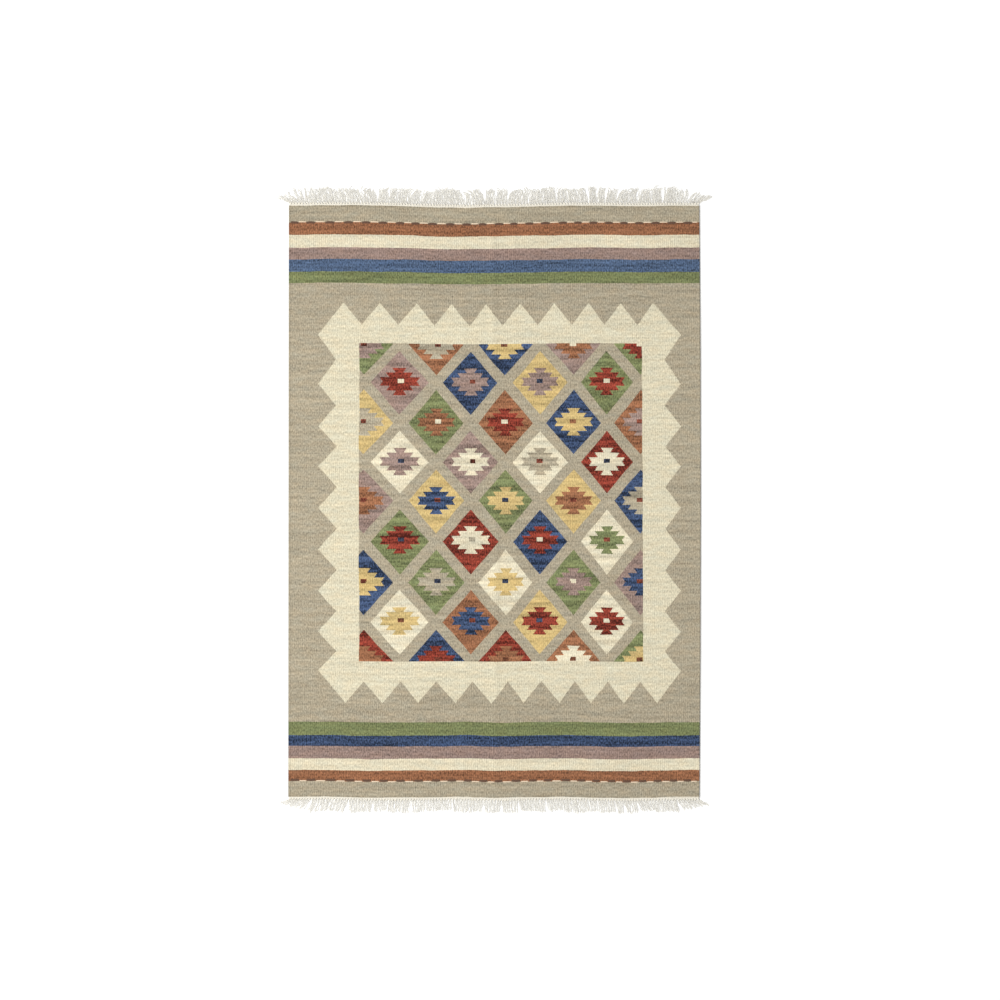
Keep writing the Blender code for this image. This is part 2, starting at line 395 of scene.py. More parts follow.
def feed(tree, value, socket):
    """Feeds a node's input: with a value of the tree, or with a plain one."""
    if isinstance(value, Value):
        tree.links.new(value.socket, socket)
    else:
        socket.default_value = value


def add(tree, kind, inputs=None, **options):
    """Adds a node with its options, and feeds its inputs, which go by name or by number."""
    node = tree.nodes.new(kind)
    for name, option in options.items():
        setattr(node, name, option)
    for key, value in (inputs or {}).items():
        feed(tree, value, node.inputs[key])
    return node


def value_of(tree, kind, inputs=None, output=0, **options):
    """Adds a node in the same way. Returns one of its outputs as a value."""
    return Value(tree, add(tree, kind, inputs, **options).outputs[output])


def attribute(tree, name, output="Fac"):
    return value_of(tree, "ShaderNodeAttribute", output=output, attribute_name=name)


def join(tree, x=0.0, y=0.0, z=0.0):
    """The vector of three numbers."""
    return value_of(tree, "ShaderNodeCombineXYZ", {0: x, 1: y, 2: z})


def split(vector):
    """The three numbers of a vector."""
    node = add(vector.tree, "ShaderNodeSeparateXYZ", {0: vector})
    return [Value(vector.tree, output) for output in node.outputs]


def either(test, failed, held):
    """One number where a test fails and another where it holds."""
    return value_of(test.tree, "ShaderNodeMix", {0: test, 2: failed, 3: held}, data_type="FLOAT")


def mix_colours(tree, amount, first, second, blend_type="MIX"):
    inputs = {0: amount, 6: first, 7: second}
    return value_of(tree, "ShaderNodeMix", inputs, 2, data_type="RGBA", blend_type=blend_type)


def tinted(colour, red, green, blue):
    """A colour with each of its channels turned up or down."""
    gains = value_of(red.tree, "ShaderNodeCombineColor", {0: red, 1: green, 2: blue})
    return mix_colours(red.tree, 1.0, colour, gains, "MULTIPLY")


# A fade carries a value that goes from low to high to one that goes from at_low to at_high
Fade = namedtuple("Fade", "low high at_low at_high")


def faded(value, fade):
    """Carries a value over a fade. Past either end of it the result stays as it is there."""
    titles = ("Value", "From Min", "From Max", "To Min", "To Max")
    return value_of(value.tree, "ShaderNodeMapRange", dict(zip(titles, (value, *fade))), "Result")


# Soft noise: how many blots it has a metre across and along the rug, how far it swings, and its own number
Blots = namedtuple("Blots", "across along swing number", defaults=(0.0,))


def drift(u, v, blots, number=None):
    """A slow, soft swing to and fro from blot to blot."""
    place = join(u.tree, u * blots.across, v * blots.along, number or blots.number)
    noise = value_of(u.tree, "ShaderNodeTexNoise", {"Vector": place, "Scale": 1.0})
    return (noise - 0.5) * blots.swing


def new_material(name, finish):
    """A material with a finish: some inputs of its shader and their values. Returns it and its node tree."""
    material = bpy.data.materials.new(name)
    material.use_nodes = True
    for title, amount in finish.items():
        material.node_tree.nodes["Principled BSDF"].inputs[title].default_value = amount
    return material, material.node_tree


def surface(tree, colour, height, relief):
    """Gives a material's shader a colour, and bumps of a height with some relief."""
    shader = tree.nodes["Principled BSDF"]
    feed(tree, colour, shader.inputs["Base Color"])
    bump = {"Height": height, "Strength": relief.strength, "Distance": relief.distance}
    feed(tree, value_of(tree, "ShaderNodeBump", bump), shader.inputs["Normal"])


# The stripes at each end, from the end inwards: the yarn, and where it stops
Stripe = namedtuple("Stripe", "yarn top bottom")
STRIPES = (
    Stripe("cotton", 0.8980, 0.8982),
    Stripe("grey", 0.8480, 0.8505),
    Stripe("rust", 0.8100, 0.8175),
    Stripe("cream", 0.7713, 0.7815),
    Stripe("mauve", 0.7358, 0.7443),
    Stripe("blue", 0.6983, 0.7110),
    Stripe("green", 0.6640, 0.6706),
)
STRIPES_FROM, STRIPES_TO = 0.65, 0.91

# A medallion has three tiers above its middle and three below. Their widths are shares of the diamond's.
TIERS = 3
TIER_HEIGHT = 0.0143
FIRST_TIER_LESS = 0.0014
TIER_HALF_WIDTH = 0.575
TIER_STEP_IN = 0.225
TIER_FLARE = 0.115
HEART_HALF_WIDTH = 0.0090
HEART_HALF_HEIGHT = 0.0063
HEART_UP = 0.0020

# A colour changes between two warps, and along the length in steps of a few wefts. The hand-beaten wefts
# don't run quite straight, so an edge wanders along and across the rug, and the stripes most.
WARP_PITCH = RIB_PITCH / 2
COLOUR_STEP = 0.0036
HAND_ALONG = Blots(22.0, 22.0, 0.0035)
HAND_ACROSS = Blots(18.0, 18.0, 0.0035, number=7.0)
BEAT = Blots(7.0, 3.0, 0.0070)


def stripe_colours(v, side):
    """The stripes of one end: a ramp with hard steps that runs inwards from the end."""
    reach = STRIPES_TO - STRIPES_FROM
    inwards = (STRIPES_TO - v * side) / reach
    node = add(v.tree, "ShaderNodeValToRGB", {0: inwards})
    node.color_ramp.interpolation = "CONSTANT"
    elements = node.color_ramp.elements
    elements.remove(elements[1])
    elements[0].color = YARNS[STRIPES[0].yarn]
    following = [*column(STRIPES[1:], "yarn"), "grey"]
    for place, yarn in zip(column(STRIPES, "top" if side > 0 else "bottom"), following):
        yarn = "faded_blue" if yarn == "blue" and side > 0 else yarn
        elements.new((STRIPES_TO - place) / reach).color = YARNS[yarn]
    return Value(v.tree, node.outputs[0])


def diamond(rows, u, v):
    """The diamonds of one set of rows: where they are, their colours, and a number for each one's dye."""
    centre_u, centre_v, number = split(attribute(u.tree, f"{rows}_centre", "Vector"))
    half_width, reach_up, reach_down = split(attribute(u.tree, f"{rows}_reach", "Vector"))
    heart_right, medallion_up, _ = split(attribute(u.tree, f"{rows}_offset", "Vector"))
    right = u - centre_u
    above = v - centre_v
    across = abs(right) / half_width
    along = (above / reach_up).at_least(above * -1.0 / reach_down)
    inside = across + along < 1.0

    above = above - medallion_up
    height = (abs(above) + FIRST_TIER_LESS) / TIER_HEIGHT
    reach = TIER_HALF_WIDTH - height.floor() * TIER_STEP_IN + height.fraction() * TIER_FLARE
    in_medallion = (across < reach) * (height < TIERS)
    in_heart = (abs(right - heart_right) < HEART_HALF_WIDTH) * (abs(above - HEART_UP) < HEART_HALF_HEIGHT)

    ground, medallion, heart = (attribute(u.tree, f"{rows}_{part}", "Color") for part in CHART_PARTS)
    colour = mix_colours(u.tree, in_medallion, ground, medallion)
    return inside, mix_colours(u.tree, in_heart, colour, heart), number


def pattern(u, v):
    """The whole woven design. Returns its colour and a number that differs from diamond to diamond."""
    tree = u.tree
    at_u = (u / WARP_PITCH).floor() * WARP_PITCH + WARP_PITCH / 2 + drift(u, v, HAND_ACROSS)
    at_v = v + drift(u, v, HAND_ALONG)
    stripe_v = at_v + drift(u, v, BEAT)
    stepped_v = (at_v / COLOUR_STEP).floor() * COLOUR_STEP
    colour = mix_colours(tree, v > 0.0, stripe_colours(stripe_v, -1), stripe_colours(stripe_v, 1))

    across = (at_u > attribute(tree, "teeth_left")) * (at_u < attribute(tree, "teeth_right"))
    along = (stepped_v > attribute(tree, "teeth_bottom")) * (stepped_v < attribute(tree, "teeth_top"))
    colour = mix_colours(tree, across * along, colour, YARNS["border"])

    field = YARNS["grey"]
    tone = 0.0
    for rows in ("even", "odd"):
        inside, yarns, number = diamond(rows, at_u, at_v)
        field = mix_colours(tree, inside, field, yarns)
        tone = inside * number + tone
    across = (u > FIELD_LEFT) * (u + v * FIELD_LEAN < FIELD_RIGHT)
    in_field = across * (v > FIELD_BOTTOM) * (v < FIELD_TOP)
    return mix_colours(tree, in_field, colour, field), tone * in_field


# The dye is uneven: in long streaks along the wefts, in flecks, and in bolder bands inside the diamonds,
# whose wool was dyed apart. Dark yarns show it most: it goes by this power of their lightness.
BROAD_STREAKS = Blots(4.0, 80.0, 0.30)
FINE_STREAKS = Blots(24.0, 210.0, 0.24)
FLECKS = Blots(250.0, 140.0, 0.78)
BANDS = Blots(5.0, 62.0, 1.0, number=9.0)
BAND_EDGES = Fade(-0.12, 0.12, -0.085, 0.085)
WARMTH = Blots(24.0, 60.0, 0.16, number=3.0)
DYED_APART = 57.0
UNEVENNESS_POWER = -0.6
DARKEST_YARN = 0.03
DARKEST_SHADE = 0.3

# Each weft passes over one rib and under the next, so that the rows of stitches are offset. A stitch is round
# across and along. Painted shade darkens its colour between the ribs, most near the ends, and a little
# painted light brightens its top.
PICK_PITCH = 0.0022
ROUND_ACROSS, ROUND_ALONG = 0.6, 0.5
DEEPEST_PAINTED_SHADE = Fade(0.50, 0.66, 0.91, 0.79)
FULL_STITCH = 0.8
STITCH_TOP = 1.02

# Painted shade darkens the colour along the sides and the ends
PAINTED_SIDE_SHADE = Fade(0.0005, 0.0040, 0.72, 1.0)
PAINTED_END_SHADE = Fade(0.0048, 0.0085, 0.86, 1.0)

Relief = namedtuple("Relief", "strength distance")
WOOL_RELIEF = Relief(0.6, 0.0006)
WOOL_FINISH = {"Roughness": 0.95, "Specular IOR Level": 0.08, "Sheen Weight": 0.05, "Sheen Roughness": 0.6}


def wool_material():
    """Matt hand-spun wool: the design, streaks of uneven dye along the wefts, and the weave's relief."""
    material, tree = new_material("hand_spun_wool", WOOL_FINISH)
    u, v, _ = split(value_of(tree, "ShaderNodeUVMap", uv_map="woven"))
    colour, tone = pattern(u, v)

    dyed_apart = tone * DYED_APART
    dyed_u = u + dyed_apart
    streaks = drift(dyed_u, v, BROAD_STREAKS, dyed_apart) + drift(dyed_u, v, FINE_STREAKS)
    flecks = drift(u, v, FLECKS)
    bands = faded(drift(dyed_u, v, BANDS), BAND_EDGES) * (tone > 0.0)
    lightness = value_of(tree, "ShaderNodeRGBToBW", {0: colour})
    unevenness = lightness.at_least(DARKEST_YARN) ** UNEVENNESS_POWER
    dye_shade = ((streaks + (flecks + bands)) * unevenness + 1.0).at_least(DARKEST_SHADE)

    rib = u / RIB_PITCH
    pick = (v / PICK_PITCH + rib.floor() * 0.5).fraction()
    on_rib = (rib.fraction() * math.pi).sine()
    on_pick = (pick * math.pi).sine()
    stitch = on_rib**ROUND_ACROSS * on_pick**ROUND_ALONG
    # Painted shade between the ribs and stitches, deepest near the ends, and a little painted light on their
    # tops
    deepest_painted_shade = faded(abs(v), DEEPEST_PAINTED_SHADE)
    painted_stitch_shade = faded(stitch, Fade(0.0, FULL_STITCH, deepest_painted_shade, STITCH_TOP))

    # Painted shade along the rug's sides and its ends
    painted_edge_shade = faded(WIDTH / 2 - abs(u), PAINTED_SIDE_SHADE) * faded(LENGTH / 2 - abs(v), PAINTED_END_SHADE)
    # The dye's unevenness times the painted shade of the stitches and of the edges
    shade = dye_shade * painted_stitch_shade * painted_edge_shade
    warmth = shade * drift(u, v, WARMTH)
    surface(tree, tinted(colour, shade + warmth, shade, shade - warmth), stitch + flecks, WOOL_RELIEF)
    return material


def new_tree(name, **names):
    """An empty Geometry Nodes tree, and its inputs under their names, which are given kind by kind."""
    tree = bpy.data.node_groups.new(name, "GeometryNodeTree")
    for kind, titles in {"Geometry": "geometry", **names}.items():
        for title in titles.split():
            tree.interface.new_socket(title, in_out="INPUT", socket_type=f"NodeSocket{kind}")
    tree.interface.new_socket("geometry", in_out="OUTPUT", socket_type="NodeSocketGeometry")
    sockets = tree.nodes.new("NodeGroupInput").outputs
    return tree, SimpleNamespace(**{socket.name: Value(tree, socket) for socket in sockets if socket.name})


def end_tree(tree, geometry):
    """Leads a tree's result out of it. Returns the tree."""
    add(tree, "NodeGroupOutput", {0: geometry})
    return tree


def use_tree(obj, tree, **values):
    """Adds a tree to an object as a modifier and sets its inputs by their identifiers."""
    modifier = obj.modifiers.new(tree.name, "NODES")
    modifier.node_group = tree
    for item in tree.interface.items_tree:
        if item.in_out == "INPUT" and item.name in values:
            modifier[item.identifier] = values[item.name]


def store(geometry, name, number):
    """Keeps a number under a name for each point of a geometry."""
    inputs = {"Geometry": geometry, "Name": name, "Value": number}
    return value_of(geometry.tree, "GeometryNodeStoreNamedAttribute", inputs)


def finished_piece(obj, slot, *materials):
    """Makes an object's modifiers final. The result is a plain mesh that rides on the rug."""
    graph = bpy.context.evaluated_depsgraph_get()
    mesh = bpy.data.meshes.new_from_object(obj.evaluated_get(graph))
    obj.modifiers.clear()
    obj.data = mesh
    if materials:
        mesh.materials.clear()
        for material in materials:
            mesh.materials.append(material)
    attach(obj, "root")
    return obj


def rib_tree():
    """Works out how thick the cloth is at each point: full over a warp and thin between two, round at the
    selvedges and thinner at its ends."""
    sizes = "rib_pitch rib_depth cloth_thickness selvedge_thickness selvedge_width half_width half_length"
    tree, given = new_tree("warp_ribs", Float=sizes)
    woven = value_of(tree, "GeometryNodeInputNamedAttribute", {"Name": "woven"}, data_type="FLOAT_VECTOR")
    u, v, _ = split(woven)
    rise = abs(((u + given.half_width) / given.rib_pitch * math.pi).sine())
    ribbed = given.cloth_thickness - (1.0 - rise) * given.rib_depth

    inset = given.half_width - abs(u)
    around = inset * 2.0 / given.selvedge_width - 1.0
    cord = (1.0 - around * around).at_least(0.0).root() * given.selvedge_thickness
    cord = cord.at_least(given.cloth_thickness * SELVEDGE_EDGE)
    thick = either(inset < given.selvedge_width, ribbed, cord)

    from_end = given.half_length - abs(v)
    (edge_at, edge), (most_at, most), (full_at, full) = ROUNDED_END
    outer = faded(from_end, Fade(edge_at, most_at, edge, most))
    inner = faded(from_end, Fade(most_at, full_at, most, full))
    rounding = either(from_end > most_at, outer, inner)
    share = thick * rounding / given.selvedge_thickness
    return end_tree(tree, store(given.geometry, "thickness", share))


wool = wool_material()
cloth = bpy.data.objects.new("kilim_weave", weave_cloth())
scene.collection.objects.link(cloth)
cloth.vertex_groups.new(name="thickness")
use_tree(
    cloth,
    rib_tree(),
    rib_pitch=RIB_PITCH,
    rib_depth=RIB_DEPTH,
    cloth_thickness=CLOTH_THICKNESS,
    selvedge_thickness=SELVEDGE_THICKNESS,
    selvedge_width=SELVEDGE_WIDTH,
    half_width=WIDTH / 2,
    half_length=LENGTH / 2,
)
thicken = cloth.modifiers.new("thickness", "SOLIDIFY")
thicken.thickness = SELVEDGE_THICKNESS
thicken.offset = 0.0
thicken.vertex_group = "thickness"
thicken.thickness_vertex_group = 0.0
finished_piece(cloth, "kilim_wool", wool)
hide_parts("kilim_cloth")


# ------------------------------------------------
# A twined line edges each rust stripe on its outer side: a dark and a white yarn that take turns to pass
# over the warps, so that it reads as a row of dashes. It is worked in as the cloth is woven.
# ------------------------------------------------
DASH_HEIGHT = 0.0044
DASH_DEPTH = 0.0019
DASH_HUMP = 0.0014
TWINED_STEP = 0.0025

# Where each dark dash is, as measured in the photo. Their spacing drifts.
TOP_DASHES = (
    -0.6060, -0.5595, -0.5010, -0.4430, -0.3900, -0.3392, -0.2862, -0.2398, -0.1862, -0.1345, -0.0838,
    -0.0325, 0.0205, 0.0612, 0.1085, 0.1550, 0.2085, 0.2552, 0.3020, 0.3490, 0.3945, 0.4400, 0.4920,
    0.5405, 0.5885,
)
BOTTOM_DASHES = (
    -0.6055, -0.5570, -0.4950, -0.4375, -0.3865, -0.3353, -0.2838, -0.2300, -0.1765, -0.1265, -0.0796,
    -0.0348, 0.0060, 0.0660, 0.1172, 0.1628, 0.2205, 0.2660, 0.3095, 0.3585, 0.4030, 0.4520, 0.4965,
    0.5460, 0.5895,
)

# Where a line's dark and its white yarn lie along the rug
TwinedLine = namedtuple("TwinedLine", "name dark white dashes")
TWINED_LINES = (
    TwinedLine("twined_line_top", 0.8454, 0.8487, TOP_DASHES),
    TwinedLine("twined_line_bottom", -0.8464, -0.8500, BOTTOM_DASHES),
)

# How a yarn is plied: how many plies, how thick each is, how far from its middle they lie and how often they
# turn in a metre. Flatness is its height for its width, and sides is how many faces go round a ply.
PliedYarn = namedtuple("PliedYarn", "plies ply_width lay turns_per_metre flatness sides")
DARK_YARN = PliedYarn(5, 0.0026, 0.0024, 70.0, 0.22, 6)
WHITE_YARN = PliedYarn(3, 0.0018, 0.0010, 70.0, 0.40, 6)
FIBRES = {"Detail": 4.0, "Roughness": 0.65}
LEAST_FIBRE, MOST_FIBRE = 0.25, 0.75
LIGHTEST_FIBRE = 1.04
YARN_RELIEF = Relief(0.5, 0.0004)
YARN_FINISH = {"Roughness": 0.9, "Specular IOR Level": 0.1, "Sheen Weight": 0.1}


def path_object(name, paths):
    """An object that holds paths, each a row of points, as plain edges for a tree to sweep."""
    points = []
    edges = []
    for path in paths:
        first = len(points)
        points += [tuple(point) for point in path]
        edges += [(n, n + 1) for n in range(first, len(points) - 1)]
    mesh = bpy.data.meshes.new(name)
    mesh.from_pydata(points, edges, [])
    obj = bpy.data.objects.new(name, mesh)
    scene.collection.objects.link(obj)
    return obj


def vector_sum(tree, operation, *vectors, **others):
    """One step of arithmetic on vectors. Scaling goes by another input, Scale."""
    inputs = {**dict(enumerate(vectors)), **others}
    return value_of(tree, "ShaderNodeVectorMath", inputs, operation=operation)


def moved(path, sideways, up):
    """Moves a path's points to its side, level with the floor, and up."""
    tree = path.tree
    tangent = value_of(tree, "GeometryNodeInputTangent")
    side = vector_sum(tree, "NORMALIZE", vector_sum(tree, "CROSS_PRODUCT", tangent, (0.0, 0.0, 1.0)))
    offset = vector_sum(tree, "ADD", vector_sum(tree, "SCALE", side, Scale=sideways), join(tree, z=up))
    return value_of(tree, "GeometryNodeSetPosition", {"Geometry": path, "Offset": offset})


def wound(path, share, turns_per_metre, radius, height):
    """Winds a path round where it was: a radius out to its sides and a height up and down, from some share
    of a turn on."""
    length = value_of(path.tree, "GeometryNodeSplineParameter", output="Length")
    angle = (length * turns_per_metre + share) * math.tau
    return moved(path, angle.cosine() * radius, angle.sine() * height)


def copied(path, amount):
    """Copies of each path, all in its place. Returns them and their numbers."""
    inputs = {0: path, "Amount": amount}
    node = add(path.tree, "GeometryNodeDuplicateElements", inputs, domain="SPLINE")
    return [Value(path.tree, output) for output in node.outputs]


def swept(path, width, sides):
    """Sweeps a round yarn along paths."""
    profile = value_of(path.tree, "GeometryNodeCurvePrimitiveCircle", {"Resolution": sides, "Radius": 0.5})
    inputs = {"Curve": path, "Profile Curve": profile, "Scale": width, "Fill Caps": True}
    return value_of(path.tree, "GeometryNodeCurveToMesh", inputs)


def finish_tree(tree, yarns, material):
    """Ends a tree with smooth, real yarns of a material."""
    smooth = value_of(tree, "GeometryNodeSetShadeSmooth", {"Geometry": yarns})
    real = value_of(tree, "GeometryNodeRealizeInstances", {"Geometry": smooth})
    return end_tree(tree, value_of(tree, "GeometryNodeSetMaterial", {"Geometry": real, "Material": material}))


def plied_yarn_tree():
    """Lays up a few plies round each path, as in a plied yarn."""
    sizes = "ply_width lay turns_per_metre flatness"
    tree, given = new_tree("plied_yarn", Float=sizes, Int="plies sides", Material="material")
    path = value_of(tree, "GeometryNodeMeshToCurve", {"Mesh": given.geometry})
    plies, number = copied(path, given.plies)
    height = given.lay * given.flatness
    plies = wound(plies, number / given.plies, given.turns_per_metre, given.lay, height)
    return finish_tree(tree, swept(plies, given.ply_width, given.sides), given.material)


def yarn_material(name, colour, fibre_scale, darkest, loose_colour=None):
    """Spun yarn: matt fibres, with small changes of tone down to the darkest. Towards a loose end the colour
    can turn into another, and one yarn can be duller than the next."""
    material, tree = new_material(name, YARN_FINISH)
    place = value_of(tree, "ShaderNodeTexCoord", output="Object")
    fibre = value_of(tree, "ShaderNodeTexNoise", {"Vector": place, "Scale": fibre_scale, **FIBRES})
    tone = faded(fibre, Fade(LEAST_FIBRE, MOST_FIBRE, darkest, LIGHTEST_FIBRE))
    if loose_colour:
        colour = mix_colours(tree, attribute(tree, "looseness"), colour, loose_colour)
        tone = tone - attribute(tree, "dullness")
    surface(tree, tinted(colour, tone, tone, tone), fibre, YARN_RELIEF)
    return material


def twined_path(place, dashes, turn):
    """The way of one of a line's two yarns. It lies on the cloth for one dash and goes down between the
    warps for the next. Turn is 1 for the dark yarn, whose dashes are humped, and -1 for the other."""
    u = np.arange(-WIDTH / 2 + SELVEDGE_WIDTH, WIDTH / 2 - SELVEDGE_WIDTH, TWINED_STEP)
    pitch = dashes[-1] - dashes[-2]
    places = [*dashes, dashes[-1] + pitch]
    over = np.clip(turn * np.cos(math.tau * np.interp(u, places, range(len(places)))), 0.0, 1.0)
    hump = math.copysign(DASH_HUMP, place) * over * (turn > 0)
    x, y, lift = lie_of_cloth(u, place + hump)
    height = DASH_DEPTH + (DASH_HEIGHT - DASH_DEPTH) * np.sqrt(over)
    return np.stack([x, y, lift + height], axis=1)


plied_yarn = plied_yarn_tree()
dark = yarn_material("dark_brown_yarn", dye(112, 84, 69), fibre_scale=900.0, darkest=0.80)
white = yarn_material("white_yarn", dye(250, 228, 200), fibre_scale=900.0, darkest=0.85)
for line in TWINED_LINES:
    for shade, turn, plied, spun in (("dark", 1, DARK_YARN, dark), ("white", -1, WHITE_YARN, white)):
        path = twined_path(getattr(line, shade), line.dashes, turn)
        strand = path_object(f"{line.name}_{shade}", [path])
        use_tree(strand, plied_yarn, material=spun, **plied._asdict())
        finished_piece(strand, "kilim_wool")


# ------------------------------------------------
# A two-ply cotton cord is twined through the warps at each end, so that the last wefts can't slide off.
# The cotton is warmer where it is tied than where it has come loose.
# ------------------------------------------------
CORD_PLY = 0.0021
CORD_CENTRE = 0.0008
CORD_HEIGHT = 0.0030
CORD_STEP = 0.0016
END_CORD = PliedYarn(2, CORD_PLY, CORD_PLY / 2, 110.0, 0.8, 6)
ENDS = {"top": 1, "bottom": -1}
ROOT_WHITE = (0.85, 0.81, 0.71, 1.0)
LOOSE_WHITE = (0.97, 0.942, 0.868, 1.0)

cotton = yarn_material(
    "off_white_cotton", ROOT_WHITE, fibre_scale=1100.0, darkest=0.86, loose_colour=LOOSE_WHITE
)
for end_name, side in ENDS.items():
    u = np.arange(-WIDTH / 2 + CORD_PLY, WIDTH / 2 - CORD_PLY, CORD_STEP)
    x, y, _ = lie_of_cloth(u, np.full(len(u), side * LENGTH / 2))
    path = np.stack([x, y + side * CORD_CENTRE, np.full(len(u), CORD_HEIGHT)], axis=1)
    end_cord = path_object(f"end_cord_{end_name}", [path])
    use_tree(end_cord, plied_yarn, material=cotton, **END_CORD._asdict())
    finished_piece(end_cord, "warp_cotton")


# ------------------------------------------------
# The warps are cotton. Outside the cord they are tied together, a few at a time, in a row of small
# overhand knots, drawn up tight against it.
# ------------------------------------------------
LOCKS = 144
ROOT_CENTRE = 0.0043
KNOT_HEIGHT = 0.0024
KNOT = {"knot_size": 0.0031, "yarn_width": 0.0022, "steps": 24}
KNOT_SIDES = 5
KNOT_TURNED = 0.5
SMALLEST_KNOT, LARGEST_KNOT = 0.88, 1.08


def drawn(tree, low, high, **inputs):
    """A number drawn at random for each element."""
    return value_of(tree, "FunctionNodeRandomValue", {2: low, 3: high, **inputs}, 1, data_type="FLOAT")


def knot_tree():
    """Ties an overhand knot at each point: a trefoil path, swept with yarn, turned a little at random."""
    sizes = "knot_size yarn_width"
    tree, given = new_tree("overhand_knots", Float=sizes, Int="steps seed", Material="material")
    ring = value_of(tree, "GeometryNodeCurvePrimitiveCircle", {"Resolution": given.steps})
    turn = value_of(tree, "GeometryNodeInputIndex") * math.tau / given.steps
    twice = turn * 2.0
    # A trefoil reaches as far as three times its unit
    x = turn.sine() + twice.sine() * 2.0
    y = turn.cosine() - twice.cosine() * 2.0
    z = (turn * 3.0).sine()
    place = vector_sum(tree, "SCALE", join(tree, x, y, z), Scale=given.knot_size / 3.0)
    knot = value_of(tree, "GeometryNodeSetPosition", {"Geometry": ring, "Position": place})
    placed = {
        "Points": given.geometry,
        "Instance": swept(knot, given.yarn_width, KNOT_SIDES),
        "Rotation": join(tree, z=drawn(tree, -KNOT_TURNED, KNOT_TURNED, Seed=given.seed)),
        "Scale": drawn(tree, SMALLEST_KNOT, LARGEST_KNOT),
    }
    return finish_tree(tree, value_of(tree, "GeometryNodeInstanceOnPoints", placed), given.material)


def root_places(side):
    """Where each lock of the fringe starts, on the floor."""
    u = WIDTH * ((np.arange(LOCKS) + 0.5) / LOCKS - 0.5)
    x, y, _ = lie_of_cloth(u, np.full(LOCKS, side * LENGTH / 2))
    return x, y + side * ROOT_CENTRE


knots = knot_tree()
for end_name, side in ENDS.items():
    x, y = root_places(side)
    row = path_object(f"end_knots_{end_name}", [[place] for place in zip(x, y, np.full(LOCKS, KNOT_HEIGHT))])
    use_tree(row, knots, seed=side + 2, material=cotton, **KNOT)
    finished_piece(row, "warp_cotton")


# ------------------------------------------------
# Past its knot each lock of warps is loose. Its yarns fan out, cross each other and lie on the floor in
# tufts. At the top end they have kept a curl, and the end locks of both rows flare outwards.
# ------------------------------------------------
# Sections of one lock from its root to its tip: share of its length, and how much of its lean and of its
# curl it has taken up there
Section = namedtuple("Section", "share lean curl")
LOCK_SECTIONS = (
    Section(share=0.05, lean=0.25, curl=0.0),
    Section(share=0.17, lean=0.60, curl=0.0),
    Section(share=0.47, lean=1.00, curl=0.10),
    Section(share=0.79, lean=1.00, curl=0.45),
    Section(share=1.00, lean=1.00, curl=1.00),
)
TIP_STEPS = 4
LOCK_HEIGHT = 0.0012

# How the locks of each end lie: gather draws a tuft's locks together, at the left and at the right of the
# row, spread leans them out towards the corners, curl bends a tuft to one side or the other, and the last bit
# of each lock, its tip, turns over by about the hook (angles in degrees). The dullest yarn is so much darker
# than the whitest.
End = namedtuple("End", "side seed yarns length gather sway spread curl curl_wave hook tip dullest")
LOOSE_ENDS = {
    "top": End(
        side=1, seed=12, yarns=5, length=0.0429, gather=(1.6, 3.8), sway=7.0, spread=6.0,
        curl=30.0, curl_wave=0.33, hook=150.0, tip=0.0130, dullest=0.13,
    ),
    "bottom": End(
        side=-1, seed=21, yarns=4, length=0.0420, gather=(2.2, 2.0), sway=9.0, spread=20.0,
        curl=14.0, curl_wave=0.46, hook=40.0, tip=0.0035, dullest=0.02,
    ),
}
TUFT_SIZES = (3, 4, 5)
TUFT_UNEVENNESS = 0.12
CURL_UNEVENNESS = 0.25
LOCK_UNEVENNESS = 0.04

# The end locks lean out by the flare, and the next ones less and less
CORNER_FLARE = 66.0
CORNER_SPAN = 0.072
FLARE_FADE = 0.055

# A tuft's tips hook over to one side by this share of the hook, its outer locks fan out from that, and each
# is a little different
TUFT_HOOK = 0.7
HOOK_FAN = 0.5
HOOK_UNEVENNESS = 0.3


def lock_headings(end):
    """Lean, curl, hook and length of every lock of one end, tuft by tuft from the left."""
    draw = random.Random(end.seed)
    hooks = random.Random(end.seed + 1)
    pitch = WIDTH / LOCKS
    headings = []
    while len(headings) < LOCKS:
        size = min(draw.choice(TUFT_SIZES), LOCKS - len(headings))
        middle = (size - 1) / 2
        tuft_x = pitch * (len(headings) + middle + 0.5) - WIDTH / 2
        gather = np.interp(tuft_x, (-WIDTH / 2, WIDTH / 2), end.gather)
        sway = end.sway * draw.uniform(-1, 1)
        turn = math.sin(math.tau * tuft_x / end.curl_wave)
        curl = end.curl * (turn + CURL_UNEVENNESS * draw.uniform(-1, 1))
        stretch = 1 + TUFT_UNEVENNESS * draw.uniform(-1, 0)
        turned_over = hooks.choice((-TUFT_HOOK, TUFT_HOOK))
        for place in range(size):
            inward = gather * (middle - place)
            x = tuft_x + pitch * (place - middle)
            flare = (CORNER_SPAN - (WIDTH / 2 - abs(x))) / FLARE_FADE
            flare = math.copysign(min(max(0.0, flare), 1.0), x)
            freedom = 1 - abs(flare)
            lean = (sway + inward + end.spread * x / (WIDTH / 2)) * freedom + flare * CORNER_FLARE
            length = end.length * stretch * (1 + LOCK_UNEVENNESS * draw.uniform(-1, 0))
            outward = (place - middle) / (middle + 1)
            own = hooks.uniform(-HOOK_UNEVENNESS, HOOK_UNEVENNESS)
            hook = end.hook * freedom * (turned_over + HOOK_FAN * outward + own)
            angles = (lean, curl * freedom, hook)
            headings.append((*(math.radians(angle) for angle in angles), length))
    return headings


def lock_path(x, y, end, lean, curl, hook, length):
    """The middle line of one lock, section by section, with a hook at its tip."""
    points = [(x, y, LOCK_HEIGHT)]
    reached = 0.0
    steps = [(lean * s.lean + curl * s.curl, length * s.share) for s in LOCK_SECTIONS]
    for n in range(1, TIP_STEPS + 1):
        steps.append((lean + curl + hook * n / TIP_STEPS, length + end.tip * n / TIP_STEPS))
    for heading, at in steps:
        x += math.sin(heading) * (at - reached)
        y += end.side * math.cos(heading) * (at - reached)
        reached = at
        points.append((x, y, LOCK_HEIGHT))
    return points


